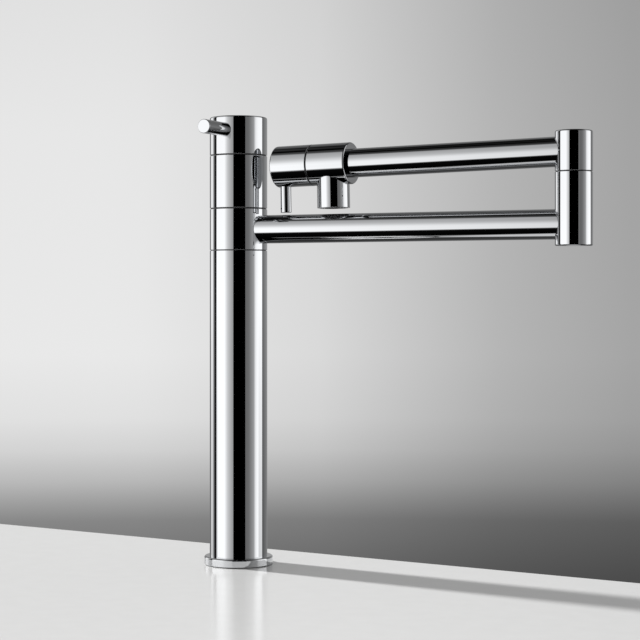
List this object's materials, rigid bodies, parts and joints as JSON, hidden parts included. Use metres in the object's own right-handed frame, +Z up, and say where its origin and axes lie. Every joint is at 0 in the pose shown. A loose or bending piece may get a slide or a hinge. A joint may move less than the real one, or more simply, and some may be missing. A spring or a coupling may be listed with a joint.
{
  "type": "kitchen tap",
  "caption": "Deck-mounted folding pot filler tap: round pillar, swivel ring, elbowed double arm, lever handle on top and a spout valve with a pin handle at the arm's end.",
  "frame": {"origin": "where the pillar's axis meets the worktop, level with the underside of the base flange's rubber ring", "axes": "+Z up along the pillar's axis, +X along the lower arm from the pillar to the elbow at rest, and the top lever points along -Y at rest"},
  "size_m": [0.3499, 0.0901, 0.4702],
  "materials": {
    "chrome": "polished chrome on brass",
    "brass": "turned brass, bare",
    "copper": "drawn copper pipe, bare",
    "steel": "stainless steel, bare",
    "rubber": "black rubber, matt",
    "glide_plastic": "dark acetal, matt",
    "aerator_plastic": "dark grey acetal, matt",
    "ceramic": "lapped alumina ceramic, off-white"
  },
  "bodies": {
    "pillar": {"base_flange": "chrome", "base_gasket": "rubber", "pillar_tube": "chrome", "foot_plug": "brass", "threaded_shank": "brass", "deck_gasket": "rubber", "clamp_washer": "steel", "mounting_nut": "brass", "inlet_tail": "brass", "riser_tube": "copper", "core_body": "brass", "swivel_seal_lower": "rubber", "swivel_seal_upper": "rubber", "swivel_glide_lower": "glide_plastic", "swivel_glide_upper": "glide_plastic", "upper_body": "chrome", "top_cartridge_seal": "rubber", "top_fixed_disc": "ceramic", "top_cartridge_housing": "brass", "top_cartridge_nut": "brass"},
    "top_handle": {"top_handle_cap": "chrome", "top_lever": "chrome", "top_stem": "brass", "top_moving_disc": "ceramic", "top_set_screw": "steel", "top_glide_ring": "glide_plastic"},
    "lower_arm": {"swivel_ring": "chrome", "lower_arm_tube": "chrome", "elbow_lower_sleeve": "chrome", "elbow_bottom_plug": "chrome", "elbow_thrust_washer": "steel", "elbow_glide_washer": "glide_plastic"},
    "upper_arm": {"elbow_upper_sleeve": "chrome", "elbow_spindle": "brass", "elbow_seal_lower": "rubber", "elbow_seal_middle": "rubber", "elbow_seal_upper": "rubber", "elbow_circlip": "steel", "upper_arm_tube": "chrome", "valve_body": "chrome", "valve_seal": "rubber", "valve_fixed_disc": "ceramic", "valve_housing": "brass", "valve_gland_nut": "brass", "spout_nozzle": "chrome", "aerator_washer": "rubber", "aerator_housing": "aerator_plastic", "aerator_insert": "aerator_plastic", "aerator_screen": "aerator_plastic"},
    "end_handle": {"end_handle_cap": "chrome", "end_pin_lever": "chrome", "end_stem": "brass", "end_moving_disc": "ceramic", "end_set_screw": "steel", "end_glide_ring": "glide_plastic"}
  },
  "joints": [
    {"name": "top_handle_turn", "type": "hinge", "parent": "pillar", "child": "top_handle", "pos_m": [0, 0, 0.3761], "axis": [0, 0, 1], "range_deg": [0, 90]},
    {"name": "arm_swivel", "type": "hinge", "parent": "pillar", "child": "lower_arm", "pos_m": [0, 0, 0.29065], "axis": [0, 0, 1], "continuous": true},
    {"name": "elbow_swivel", "type": "hinge", "parent": "lower_arm", "child": "upper_arm", "pos_m": [0.3049, 0, 0.33236], "axis": [0, 0, 1], "continuous": true},
    {"name": "end_handle_turn", "type": "hinge", "parent": "upper_arm", "child": "end_handle", "pos_m": [0.3049, 0, 0.34886], "axis": [-0.9998, 0, -0.0183], "range_deg": [0, 90]}
  ]
}
